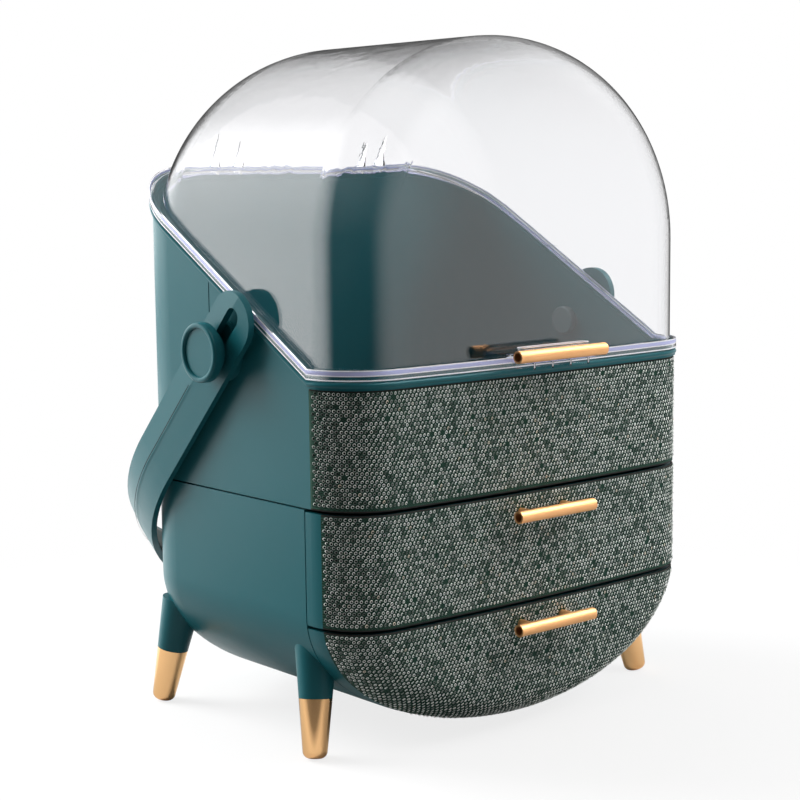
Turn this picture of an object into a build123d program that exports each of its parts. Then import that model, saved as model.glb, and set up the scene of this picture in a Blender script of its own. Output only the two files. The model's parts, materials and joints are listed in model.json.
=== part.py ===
"""Makeup organizer: a bowl-shaped base with two drawers, an open tub under a clear dome, and a carry handle.

Units are millimetres. +Z is up, the drawers open towards -Y, and X is the width. The work is laid out
with Y = 0 where the side walls meet the rounded front corners and Z = 0 on the ground. At the end every
piece is moved along Y by one shift, so that the origin lies on the ground under the middle of the object.
"""
from build123d import *
from math import atan, cos, radians, sin, sqrt
import os

# Outline of the body seen from above
half_width = 140.0
front_corner = 34.8
front_bow = 3.0
rear_wall_y = 185.0
rear_corner = 50.0

# Heights
ground_clearance = 5.0
bowl_depth = 79.0
lower_seam = 78.1
upper_seam = 143.8
panel_top = 211.0
rim_front = 215.9
rim_rear = 325.0
dome_spring = 283.8
dome_rise = 123.0

# Walls, gaps and clearances
shell_wall = 2.6
tub_floor = 2.6
tray_wall = 2.0
cover_wall = 2.2
fabric_thickness = 1.4
seam_gap = 2.0
split_gap = 0.8
tray_fit = 0.6
slide_gap = 0.3
seat_gap = 0.1
running_gap = 0.05

# Drawers
cover_split_y = 5.5
fabric_edge_y = -7.6
shelf_thickness = 2.0
ledge_width = 5.0
ledge_height = 2.0
rib_width = 4.0
rib_reach = 60.0
tray_headroom = 1.5

# Rim, lid and hinge
slit_y = 92.7
slit_width = 0.8
slit_depth = 0.6
bead_reach = 1.2
bead_top = 0.8
bead_height = 4.2
rim_lip_inset = 0.6
rim_lip_wall = 1.6
rim_lip_rise = 3.6
lid_wall = 2.2
lid_inset = 2.2
flange_reach = 1.7
flange_height = 6.3
flange_thickness = 2.4
lid_seat_gap = 0.3
lip_depth = 3.0
lip_wall = 1.6
hinge_reach = 8.5
hinge_drop = 6.5
hinge_spacing = 58.5
knuckle_radius = 5.0
knuckle_width = 15.0
lug_thickness = 2.2
lug_gap = 0.4
lug_height = 35.0
lug_root = 8.0
hinge_pin_radius = 1.5
bracket_drop = 32.0

# Gold bars
bar_radius = 3.6
bar_bore = 2.6
bar_standoff = 12.0
drawer_bar_length = 61.0
lid_bar_length = 70.0
lid_bar_standoff = 16.5
lid_bar_rise = 8.1
bar_below_seam = 11.5
post_spacing = 17.0
post_radius = 2.4
bar_screw_radius = 1.5
bar_screw_head = 3.0
bar_screw_head_height = 1.8
tab_length = 56.0
tab_thickness = 2.0
saddle_pitch = 14.5
saddle_thickness = 1.6

# Carry handle
pivot_y = 77.0
pivot_z = 226.8
handle_angle = 46.5
strap_offset = 4.5
strap_thickness = 4.6
strap_width = 36.0
strap_straight = 96.0
strap_bend = 130.0
strap_tip = 42.0
strap_crown = 0.9
crown_line = 3.0
slot_travel = 28.0
bush_radius = 17.5
pivot_radius = 5.4
knob_radius = 17.2
knob_thickness = 10.4
knob_rim = 3.4
knob_recess = 1.6
knob_neck = 4.6
knob_neck_radius = 12.6
knob_edge = 1.4
nut_radius = 9.4
nut_height = 4.5
nut_edge = 1.2
pad_thickness = 1.2
pad_width = 28.0
pad_turn = 55.0

# Legs
foot_inset = 6.5
foot_front_y = 8.75
foot_rear_inset = 20.7
leg_splay = 0.155
cap_height = 33.6
cap_top_radius = 9.6
cap_tip_radius = 6.8
cap_wall = 1.0
leg_top_radius = 12.4
leg_height = 66.0
spigot_depth = 20.0
socket_gap = 1.0
cap_tip_round = 4.2
foot_flat = 0.25

# FAR is beyond everything, OVER is how far a cut runs past the face it opens
FAR = 600.0
OVER = 1.0

# Sizes that follow from the ones above
bowl_centre = ground_clearance + bowl_depth
front_y = -(front_corner + front_bow)
reach = half_width - front_corner
bow_radius = (reach ** 2 + front_y ** 2 - front_corner ** 2) / (2 * front_bow)
centre_y = bow_radius + front_y
cover_inset = fabric_thickness + cover_wall
tray_inset = max(cover_inset, shell_wall) + tray_fit
foot_x = half_width - foot_inset
foot_rear_y = rear_wall_y - foot_rear_inset


def slab(x0, x1, y0, y1, z0, z1):
    """A box between two corners, given in any order along X."""
    x0, x1 = sorted((x0, x1))
    return Pos((x0 + x1) / 2, (y0 + y1) / 2, (z0 + z1) / 2) * Box(x1 - x0, y1 - y0, z1 - z0)


def outline(inset, whole=True):
    """The body's outline from above, moved inwards by inset, as a face. Half of it is the X >= 0 side."""
    span = sqrt(reach ** 2 + centre_y ** 2)
    out_x = reach / span
    out_y = -centre_y / span
    radius = front_corner - inset
    rear_radius = rear_corner - inset
    side = half_width - inset
    rear = rear_wall_y - inset
    nose = Vector(0, front_y + inset)
    join = Vector(reach + radius * out_x, radius * out_y)
    mid_x = out_x / 2 + 0.5
    mid_y = out_y / 2
    length = sqrt(mid_x ** 2 + mid_y ** 2)
    corner_mid = Vector(reach + radius * mid_x / length, radius * mid_y / length)
    turn = radians(45)
    rear_mid = Vector(half_width - rear_corner + rear_radius * cos(turn),
                      rear_wall_y - rear_corner + rear_radius * sin(turn))
    half_turn = (bow_radius - inset) * out_x / 2
    bow_mid = Vector(half_turn, centre_y - sqrt((bow_radius - inset) ** 2 - half_turn ** 2))

    def flip(point):
        return Vector(-point.X, point.Y)

    corner = ThreePointArc(join, corner_mid, (side, 0))
    right = Line((side, 0), (side, rear_wall_y - rear_corner))
    rear_arc = ThreePointArc((side, rear_wall_y - rear_corner), rear_mid, (half_width - rear_corner, rear))
    side_end = rear_wall_y - rear_corner
    rear_end = half_width - rear_corner
    if whole:
        edges = [
            ThreePointArc(flip(join), nose, join), corner, right, rear_arc,
            Line((rear_end, rear), (-rear_end, rear)),
            ThreePointArc((-rear_end, rear), flip(rear_mid), (-side, side_end)),
            Line((-side, side_end), (-side, 0)),
            ThreePointArc((-side, 0), flip(corner_mid), flip(join)),
        ]
    else:
        edges = [
            ThreePointArc(nose, bow_mid, join), corner, right, rear_arc,
            Line((rear_end, rear), (0, rear)), Line((0, rear), nose),
        ]
    return make_face(Curve() + edges)


def prism(inset, z0, z1):
    """The outline raised from z0 to z1."""
    return Pos(0, 0, z0) * extrude(outline(inset), z1 - z0)


def cap_end(inset, height, up):
    """Half of the outline turned about the Y axis and flattened to a height: the bowl or the dome's top."""
    half_round = revolve(outline(inset, whole=False), Axis.Y, 180)
    if up:
        half_round = Rot(0, 180, 0) * half_round
    return scale(half_round, by=(1, 1, (height - inset) / (half_width - inset)))


def lower_form(inset, z_top):
    """The solid form of the lower body, moved inwards by inset and cut flat at z_top."""
    bowl = Pos(0, 0, bowl_centre) * cap_end(inset, bowl_depth, up=False)
    if z_top > bowl_centre:
        return bowl + prism(inset, bowl_centre, z_top)
    return bowl & slab(-FAR, FAR, -FAR, FAR, -FAR, z_top)


def upper_form(inset, z_bottom):
    """The solid form of the dome, moved inwards by inset and cut flat at z_bottom."""
    top = Pos(0, 0, dome_spring) * cap_end(inset, dome_rise, up=True)
    return top + prism(inset, z_bottom, dome_spring)


def front_at(inset, x, z):
    """Y of the front surface at a place well inside its corners."""
    drop = max(bowl_centre - z, 0) * (half_width - inset) / (bowl_depth - inset)
    return centre_y - sqrt((bow_radius - inset) ** 2 - x ** 2 - drop ** 2)


def side_profile(points, start, width):
    """A shape drawn from the side with (y, z) points and raised along X from start over a width."""
    face = make_face(Polyline(*[(0, y, z) for y, z in points], close=True))
    return Pos(start, 0, 0) * extrude(face, width, dir=(1, 0, 0))


def rim_band(low, high):
    """Everything between two heights above the sloping rim line of the tub."""
    line = [(-FAR, rim_front), (0, rim_front), (rear_wall_y, rim_rear), (FAR, rim_rear)]
    lower = [(y, z + low) for y, z in line]
    upper = [(y, z + high) for y, z in reversed(line)]
    return side_profile(lower + upper, -FAR, 2 * FAR)


def rod(radius, start, end):
    """A round rod between two points."""
    axis = Vector(*end) - Vector(*start)
    standing = Cylinder(radius, axis.length, align=(Align.CENTER, Align.CENTER, Align.MIN))
    return Plane(origin=start, z_dir=axis) * standing


def tube(radius, bore, start, end):
    """A round tube between two points."""
    return rod(radius, start, end) - rod(bore, start, end)


def lathe(*points):
    """A round piece from its half profile, given as (radius, height) points."""
    return revolve(make_face(Polyline(*[(r, 0, h) for r, h in points], close=True)), Axis.Z)


def single(shape):
    """One solid out of a shape that holds one."""
    return shape.solids().sort_by(SortBy.VOLUME)[-1]


parts = {}

# Tub: walls, floor, rolled rim, locating lip and hinge knuckles in one moulding
tub_base = upper_seam + seam_gap / 2
tub_top = rim_rear + flange_height + OVER
hinge_y = rear_wall_y + hinge_reach
hinge_z = rim_rear - hinge_drop
tub = prism(0, tub_base, tub_top) - prism(shell_wall, tub_base + tub_floor, tub_top + OVER)
bead = prism(-bead_reach, tub_base, tub_top) - prism(shell_wall / 2, tub_base, tub_top)
tub += bead & rim_band(-bead_height, -bead_top)
rim_lip = prism(rim_lip_inset, tub_base, tub_top) - prism(rim_lip_inset + rim_lip_wall, tub_base, tub_top)
tub &= rim_band(-FAR, 0)
tub += rim_lip & rim_band(-shell_wall / 2, rim_lip_rise)
fabric_cut = prism(-bead_reach, tub_base - OVER, panel_top)
fabric_cut -= prism(fabric_thickness, tub_base - OVER, panel_top)
tub -= fabric_cut & slab(-FAR, FAR, -FAR, 0, 0, panel_top)
lip_inset = shell_wall + seat_gap
lip_top = tub_base + tub_floor / 2
lip = prism(lip_inset, tub_base - lip_depth, lip_top) - prism(lip_inset + lip_wall, 0, lip_top)
tub += lip & slab(-FAR, FAR, cover_split_y + split_gap, FAR, 0, lip_top)
for side in (-1, 1):
    left_face = side * hinge_spacing - knuckle_width / 2
    bracket_root = rear_wall_y - shell_wall / 2
    bracket_back = hinge_y + knuckle_radius
    knuckle_top = hinge_z + knuckle_radius
    knuckle = side_profile([
        (bracket_root, rim_rear - bracket_drop), (bracket_back, rim_rear - bracket_drop / 2),
        (bracket_back, hinge_z), (hinge_y, hinge_z), (hinge_y, knuckle_top), (bracket_root, knuckle_top),
    ], left_face, knuckle_width)
    right_face = left_face + knuckle_width
    knuckle += rod(knuckle_radius, (left_face, hinge_y, hinge_z), (right_face, hinge_y, hinge_z))
    tub += knuckle
    tub -= rod(hinge_pin_radius + running_gap, (left_face - OVER, hinge_y, hinge_z),
               (right_face + OVER, hinge_y, hinge_z))
    tub -= rod(pivot_radius + running_gap, (side * (half_width - shell_wall - OVER), pivot_y, pivot_z),
               (side * (half_width + bead_reach + OVER), pivot_y, pivot_z))
    tub -= slab(side * half_width, side * (half_width - slit_depth),
                slit_y - slit_width / 2, slit_y + slit_width / 2, pivot_z, tub_top)
parts["tub"] = tub

# Fixed fabric panel on the front of the tub
panel = prism(0, tub_base, panel_top) - prism(fabric_thickness, tub_base - OVER, panel_top + OVER)
parts["tub_front_fabric"] = panel & slab(-FAR, FAR, -FAR, -seat_gap, 0, panel_top)

# Lower housing: one moulded shell with ledges for the shelf and ribs under the lower tray
housing_top = tub_base - seam_gap / 2
housing_front = cover_split_y + split_gap / 2
shelf_base = lower_seam - shelf_thickness / 2
inside = lower_form(shell_wall, housing_top + OVER)
housing = lower_form(0, housing_top) - inside
ledge_zone = slab(-FAR, FAR, -FAR, FAR, shelf_base - ledge_height, shelf_base)
ledge = lower_form(shell_wall / 2, housing_top) - prism(shell_wall + ledge_width, 0, housing_top)
housing += ledge & ledge_zone
rib_form = lower_form(shell_wall / 2, bowl_centre) - lower_form(tray_inset - slide_gap, bowl_centre + OVER)
for side in (-1, 1):
    housing += rib_form & slab(side * rib_reach - rib_width / 2, side * rib_reach + rib_width / 2, 0,
                               rear_wall_y - rear_corner, 0, bowl_centre / 2)
housing &= slab(-FAR, FAR, housing_front, FAR, 0, housing_top)
parts["housing"] = housing

# Shelf between the drawers, resting on the housing's ledges
shelf = lower_form(shell_wall + seat_gap, shelf_base + shelf_thickness)
parts["drawer_shelf"] = shelf & slab(-FAR, FAR, housing_front, FAR, shelf_base, shelf_base + shelf_thickness)


def drawer(name, z_low, z_high, tray_low, tray_high, bar_z, bowl_floor):
    """One drawer: tray, moulded front cover, fabric panel, gold bar with its posts and screws."""
    zone = slab(-FAR, FAR, -FAR, cover_split_y - split_gap / 2, z_low, z_high)
    side_strip = lower_form(0, z_high) & slab(-FAR, FAR, fabric_edge_y, FAR, -FAR, FAR)
    cover = lower_form(fabric_thickness, z_high) + side_strip
    cover -= lower_form(cover_inset, z_high + OVER)
    cover &= zone
    fabric = lower_form(0, z_high) - lower_form(fabric_thickness, z_high + OVER)
    fabric &= slab(-FAR, FAR, -FAR, fabric_edge_y - seat_gap, z_low, z_high)
    outside = lower_form(tray_inset, tray_high)
    hollow = lower_form(tray_inset + tray_wall, tray_high + OVER)
    if not bowl_floor:
        outside &= slab(-FAR, FAR, -FAR, FAR, tray_low, tray_high)
        hollow &= slab(-FAR, FAR, -FAR, FAR, tray_low + tray_wall, tray_high + OVER)
    tray = outside - hollow
    bar_y = front_y - bar_standoff
    head_y = front_at(tray_inset + tray_wall, post_spacing + bar_screw_head, bar_z - bar_screw_head)
    half = drawer_bar_length / 2
    bar = tube(bar_radius, bar_bore, (-half, bar_y, bar_z), (half, bar_y, bar_z))
    posts = []
    screws = []
    for x in (-post_spacing, post_spacing):
        drill = rod(bar_screw_radius + seat_gap, (x, bar_y, bar_z), (x, head_y + OVER, bar_z))
        cover -= drill
        fabric -= drill
        tray -= drill
        bar -= drill
        post = rod(post_radius, (x, bar_y, bar_z), (x, front_y + fabric_thickness, bar_z)) - drill
        post -= rod(bar_radius + seat_gap, (-half, bar_y, bar_z), (half, bar_y, bar_z))
        posts.append(single(post - lower_form(-seat_gap / 2, upper_seam)))
        shank_end = bar_y + bar_bore / 2
        head_seat = head_y + seat_gap
        screw = rod(bar_screw_radius, (x, shank_end, bar_z), (x, head_seat, bar_z))
        screw += rod(bar_screw_head, (x, head_seat, bar_z), (x, head_seat + bar_screw_head_height, bar_z))
        screws.append(single(screw))
    parts[name + "_tray"] = tray
    parts[name + "_front"] = cover
    parts[name + "_fabric"] = fabric
    parts[name + "_bar"] = bar
    parts[name + "_bar_posts"] = Compound(posts)
    parts[name + "_bar_screws"] = Compound(screws)


upper_low = lower_seam + seam_gap / 2
upper_high = upper_seam - seam_gap / 2
lower_high = lower_seam - seam_gap / 2
tray_floor_z = shelf_base + shelf_thickness + slide_gap
drawer("upper_drawer", upper_low, upper_high, tray_floor_z, tub_base - lip_depth - tray_headroom,
       upper_seam - bar_below_seam, bowl_floor=False)
drawer("lower_drawer", 0, lower_high, 0, shelf_base - ledge_height - tray_headroom,
       lower_seam - bar_below_seam, bowl_floor=True)

# Clear lid: dome, flange with a short skirt, front tab with saddles, rear hinge lugs
lid_low = rim_front - OVER
lid = upper_form(lid_inset, lid_low) - upper_form(lid_inset + lid_wall, lid_low - OVER)
lid &= rim_band(flange_height - flange_thickness, FAR)
flange_block = prism(-flange_reach, lid_low, tub_top)
flange = flange_block - upper_form(lid_inset + lid_wall, lid_low - OVER)
lid += flange & rim_band(flange_height - flange_thickness, flange_height)
skirt = flange_block - prism(seat_gap, lid_low, tub_top)
lid += skirt & rim_band(lid_seat_gap, flange_height)
lid_bar_y = front_y - lid_bar_standoff
lid_bar_z = rim_front + lid_bar_rise
lid_half = lid_bar_length / 2
tab_z = rim_front + flange_height
flange_front = front_y - flange_reach
lid_bar_ends = ((-lid_half, lid_bar_y, lid_bar_z), (lid_half, lid_bar_y, lid_bar_z))
lid_bar_seat = rod(bar_radius + seat_gap, *lid_bar_ends)
lid += slab(-tab_length / 2, tab_length / 2, lid_bar_y, front_y, tab_z - flange_thickness, tab_z)
lid += slab(-tab_length / 2, tab_length / 2, lid_bar_y + bar_radius, front_y, tab_z, tab_z + tab_thickness)
for step in (-1.5, -0.5, 0.5, 1.5):
    saddle_x = step * saddle_pitch
    lid += slab(saddle_x - saddle_thickness / 2, saddle_x + saddle_thickness / 2, lid_bar_y,
                flange_front + flange_reach / 2, rim_front + lid_seat_gap, tab_z)
lid -= lid_bar_seat
lid -= slab(-FAR, FAR, -FAR, lid_bar_y + seat_gap, rim_front, tab_z + tab_thickness + OVER)
lug_face = knuckle_width / 2 + lug_gap
for side in (-1, 1):
    for edge in (-1, 1):
        lug_x = side * hinge_spacing + edge * (lug_face + lug_thickness / 2)
        lug_start = lug_x - lug_thickness / 2
        root_y = rear_wall_y - lug_root
        lug_front = hinge_y - knuckle_radius
        flange_low = rim_rear + flange_height - flange_thickness
        skirt_low = rim_rear + lid_seat_gap
        lug = side_profile([
            (root_y, flange_low), (rear_wall_y - seat_gap, flange_low), (rear_wall_y - seat_gap, skirt_low),
            (lug_front, skirt_low), (lug_front, hinge_z), (hinge_y + knuckle_radius, hinge_z),
            (root_y, rim_rear + lug_height),
        ], lug_start, lug_thickness)
        lug -= upper_form(lid_inset + lid_wall / 2, lid_low)
        lug_end = lug_start + lug_thickness
        lug += rod(knuckle_radius, (lug_start, hinge_y, hinge_z), (lug_end, hinge_y, hinge_z))
        lid += lug
        lid -= rod(hinge_pin_radius + running_gap / 2, (lug_x - lug_thickness, hinge_y, hinge_z),
                   (lug_x + lug_thickness, hinge_y, hinge_z))
parts["lid_dome"] = lid
parts["lid_bar"] = tube(bar_radius, bar_bore, *lid_bar_ends)
pin_half = lug_face + lug_thickness
for side, name in ((-1, "left"), (1, "right")):
    parts["hinge_pin_" + name] = rod(hinge_pin_radius, (side * hinge_spacing - pin_half, hinge_y, hinge_z),
                                     (side * hinge_spacing + pin_half, hinge_y, hinge_z))

# Carry handle, laid out flat in its own frame: X across, Y from the pivot to the cross bar, Z its width
at_pivot = Pos(0, pivot_y, pivot_z) * Rot(-handle_angle, 0, 0)
strap_x = half_width + strap_offset + strap_thickness / 2
bar_s = strap_straight + strap_bend
strap_start = -strap_tip - OVER
path = FilletPolyline((-strap_x, strap_start), (-strap_x, bar_s), (strap_x, bar_s), (strap_x, strap_start),
                      radius=strap_bend)
start_plane = Plane(origin=(-strap_x, strap_start, 0), x_dir=(-1, 0, 0), z_dir=(0, 1, 0))
half_strap = strap_width / 2
half_thick = strap_thickness / 2
section = make_face(Polyline(
    (-half_thick, -half_strap), (half_thick - strap_crown, -half_strap), (half_thick, crown_line),
    (half_thick - strap_crown, half_strap), (-half_thick, half_strap), close=True))
strap = sweep(start_plane * section, path)
tip_centre = half_strap - strap_tip
strap &= slab(-FAR, FAR, tip_centre, FAR, -half_strap, half_strap) + rod(
    half_strap, (-FAR, tip_centre, 0), (FAR, tip_centre, 0))
slot_radius = pivot_radius + slide_gap / 2
for side in (-1, 1):
    inner_x = side * (half_width + strap_offset - OVER)
    outer_x = side * (half_width + strap_offset + strap_thickness + OVER)
    strap -= rod(slot_radius, (inner_x, 0, 0), (outer_x, 0, 0))
    strap -= rod(slot_radius, (inner_x, -slot_travel, 0), (outer_x, -slot_travel, 0))
    strap -= slab(inner_x, outer_x, -slot_travel, 0, -slot_radius, slot_radius)
parts["handle_strap"] = at_pivot * strap

pad_depth = half_thick + pad_thickness / 2 + seat_gap
pad_bend = strap_bend - pad_depth
pad_s = bar_s - pad_depth
pad_corner = strap_x - strap_bend
pad_path = Curve() + [
    CenterArc((-pad_corner, strap_straight), pad_bend, 90, pad_turn).reversed(),
    Line((-pad_corner, pad_s), (pad_corner, pad_s)),
    CenterArc((pad_corner, strap_straight), pad_bend, 90, -pad_turn),
]
turn_sin = sin(radians(pad_turn))
turn_cos = cos(radians(pad_turn))
pad_start = (-pad_corner - pad_bend * turn_sin, strap_straight + pad_bend * turn_cos, 0)
pad_plane = Plane(origin=pad_start, x_dir=(-turn_sin, turn_cos, 0), z_dir=(turn_cos, turn_sin, 0))
pad_wire = Wire(pad_path.edges())
parts["handle_grip_pad"] = at_pivot * sweep(pad_plane * Rectangle(pad_thickness, pad_width), pad_wire)

def across(side, radius, near, far):
    """A rod on the pivot axis between two distances from the middle, on one side."""
    return rod(radius, (side * near, 0, 0), (side * far, 0, 0))


def outer_edges(shape, distance):
    """The round edges that lie in the plane at a distance from the middle."""
    return [edge for edge in shape.edges().filter_by(GeomType.CIRCLE)
            if abs(abs(edge.center().X) - distance) < seat_gap / 2]


bush_face = half_width + strap_offset - slide_gap
knob_back = half_width + strap_offset + strap_thickness + slide_gap
knob_face = knob_back + knob_thickness
pin_end = knob_back + knob_thickness / 2
nut_back = half_width - shell_wall - seat_gap
nut_face = nut_back - nut_height
pin_start = nut_back - nut_height / 2
press_radius = pivot_radius + running_gap / 2
for side, name in ((-1, "left"), (1, "right")):
    bush = across(side, bush_radius, half_width + seat_gap, bush_face)
    bush -= across(side, pivot_radius + running_gap, half_width, bush_face + OVER)
    parts["pivot_bush_" + name] = at_pivot * bush
    knob = across(side, knob_radius, knob_back, knob_face)
    knob -= across(side, knob_radius - knob_rim, knob_face - knob_recess, knob_face + OVER)
    knob -= across(side, knob_radius + OVER, knob_back - OVER, knob_back + knob_neck)
    knob += across(side, knob_neck_radius, knob_back, knob_back + knob_neck)
    knob = fillet(outer_edges(knob, knob_face), knob_edge)
    knob -= across(side, press_radius, knob_back - OVER, pin_end + running_gap)
    parts["knob_" + name] = at_pivot * knob
    parts["pivot_pin_" + name] = at_pivot * across(side, pivot_radius, pin_start, pin_end)
    nut = across(side, nut_radius, nut_face, nut_back)
    nut = fillet(outer_edges(nut, nut_face), nut_edge)
    nut -= across(side, press_radius, pin_start - running_gap, nut_back + OVER)
    parts["pivot_nut_" + name] = at_pivot * nut

# Legs moulded on the housing, each with a gold cap over its spigot, splayed outwards
tilt = atan(leg_splay * sqrt(2))
cap_taper = (cap_top_radius - cap_tip_radius) / cap_height
round_centre = cap_tip_radius + cap_taper * cap_tip_round - cap_tip_round * sqrt(1 + cap_taper ** 2)
cap_lift = round_centre * sin(tilt) + cap_tip_round * (1 - cos(tilt)) - foot_flat
spigot_top = cap_top_radius - cap_wall
spigot_low = spigot_top - cap_taper * spigot_depth
spigot_base = cap_height - spigot_depth

cap_profile = Polyline(
    (0, 0), (cap_tip_radius, 0), (cap_top_radius, cap_height), (0, cap_height), close=True)
cap_face = make_face(cap_profile)
cap_corner = cap_face.vertices().sort_by_distance((cap_tip_radius, 0))[0]
cap_face = fillet(cap_corner, cap_tip_round)
cap = revolve(Plane.XZ * cap_face, Axis.Z) - lathe(
    (0, spigot_base - socket_gap), (spigot_low, spigot_base - socket_gap), (spigot_top, cap_height),
    (spigot_top, cap_height + OVER), (0, cap_height + OVER))
leg = lathe((0, spigot_base), (spigot_low - seat_gap, spigot_base), (spigot_top - seat_gap, cap_height),
             (spigot_top - seat_gap, cap_height + seat_gap), (cap_top_radius, cap_height + seat_gap),
             (leg_top_radius, leg_height), (0, leg_height))
leg_keep = lower_form(shell_wall / 2, upper_seam)
for x_side, x_name in ((-1, "left"), (1, "right")):
    for y_side, y_name, foot_y in ((-1, "front", foot_front_y), (1, "rear", foot_rear_y)):
        rise = (-x_side * leg_splay, -y_side * leg_splay, 1)
        foot = (x_side * foot_x, foot_y, cap_lift)
        frame = Plane(origin=foot, x_dir=(1, 0, x_side * leg_splay), z_dir=rise)
        parts["housing"] += frame * leg - leg_keep
        parts["leg_cap_" + y_name + "_" + x_name] = frame * cap & slab(-FAR, FAR, -FAR, FAR, 0, bowl_centre)

# Move everything so that the origin lies under the middle of the object, then write the files
whole_box = Compound([shape for piece in parts.values() for shape in piece.solids()]).bounding_box()
shift = -(whole_box.min.Y + whole_box.max.Y) / 2
print("shift", round(shift, 3), "box", whole_box)
os.makedirs("parts", exist_ok=True)
for node, piece in parts.items():
    solids = (Pos(0, shift, 0) * piece).solids()
    export_step(Compound(solids) if len(solids) > 1 else solids[0], f"parts/{node}.step")
print("hinge", hinge_y + shift, hinge_z)
print("pivot", pivot_y + shift, pivot_z)
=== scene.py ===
"""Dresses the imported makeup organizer: plastics, gold, the clear dome, the ring-studded cloth and the studio.

Sizes in the classes are millimetres in the maker's layout, where Y = 0 is the line at which the side walls
meet the rounded front corners. Layout.place turns them into metres in the frame.
"""
import functools
import json
import logging
import math
import random
from dataclasses import dataclass, field
from enum import Enum
from typing import Callable, Iterator

import bmesh
import bpy
from mathutils import Matrix, Vector

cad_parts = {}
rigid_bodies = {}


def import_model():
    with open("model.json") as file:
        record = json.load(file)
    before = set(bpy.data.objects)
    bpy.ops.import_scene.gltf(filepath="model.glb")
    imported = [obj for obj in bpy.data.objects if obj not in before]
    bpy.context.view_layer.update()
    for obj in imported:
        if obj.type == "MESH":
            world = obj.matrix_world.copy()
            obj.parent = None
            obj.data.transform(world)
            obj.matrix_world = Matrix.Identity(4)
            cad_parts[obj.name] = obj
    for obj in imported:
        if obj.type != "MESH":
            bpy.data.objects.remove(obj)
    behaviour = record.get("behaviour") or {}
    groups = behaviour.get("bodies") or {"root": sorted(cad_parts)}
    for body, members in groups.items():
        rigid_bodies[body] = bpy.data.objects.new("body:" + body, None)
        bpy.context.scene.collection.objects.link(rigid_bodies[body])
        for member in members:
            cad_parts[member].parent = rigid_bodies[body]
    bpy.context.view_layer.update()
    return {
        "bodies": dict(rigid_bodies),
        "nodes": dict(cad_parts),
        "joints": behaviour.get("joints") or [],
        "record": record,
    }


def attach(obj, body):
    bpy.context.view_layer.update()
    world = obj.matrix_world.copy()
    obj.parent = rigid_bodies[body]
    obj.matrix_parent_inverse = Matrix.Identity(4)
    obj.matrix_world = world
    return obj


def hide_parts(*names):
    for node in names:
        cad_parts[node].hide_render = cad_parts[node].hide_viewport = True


LOG = logging.getLogger("makeup_organizer")

Triple = tuple[float, float, float]
Spot = tuple[Vector, Vector, Vector]
LinePoint = tuple[float, float, float, float]
Section = list[tuple[float, float]]
Socket = bpy.types.NodeSocket
Piece = bpy.types.Object


class Side(Enum):
    """The two sides of the organizer, seen from the front."""

    LEFT = "left"
    RIGHT = "right"


@dataclass(frozen=True)
class Layout:
    """The step from the maker's millimetres to the frame's metres."""

    shift_y: float = -94.344
    unit: float = 0.001

    def place(self, x: float, y: float, z: float) -> Vector:
        """A point in the frame, from millimetres across, from the corner line to the rear, and up."""
        return Vector((x, y + self.shift_y, z)) * self.unit


LAYOUT = Layout()
PLASTIC_IOR = 1.5
CLOUD_DETAIL = 3.0
GRAIN_DETAIL = 2.0
PATCH_SCALE = 35.0
PATCH_DETAIL = 4.0


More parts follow.
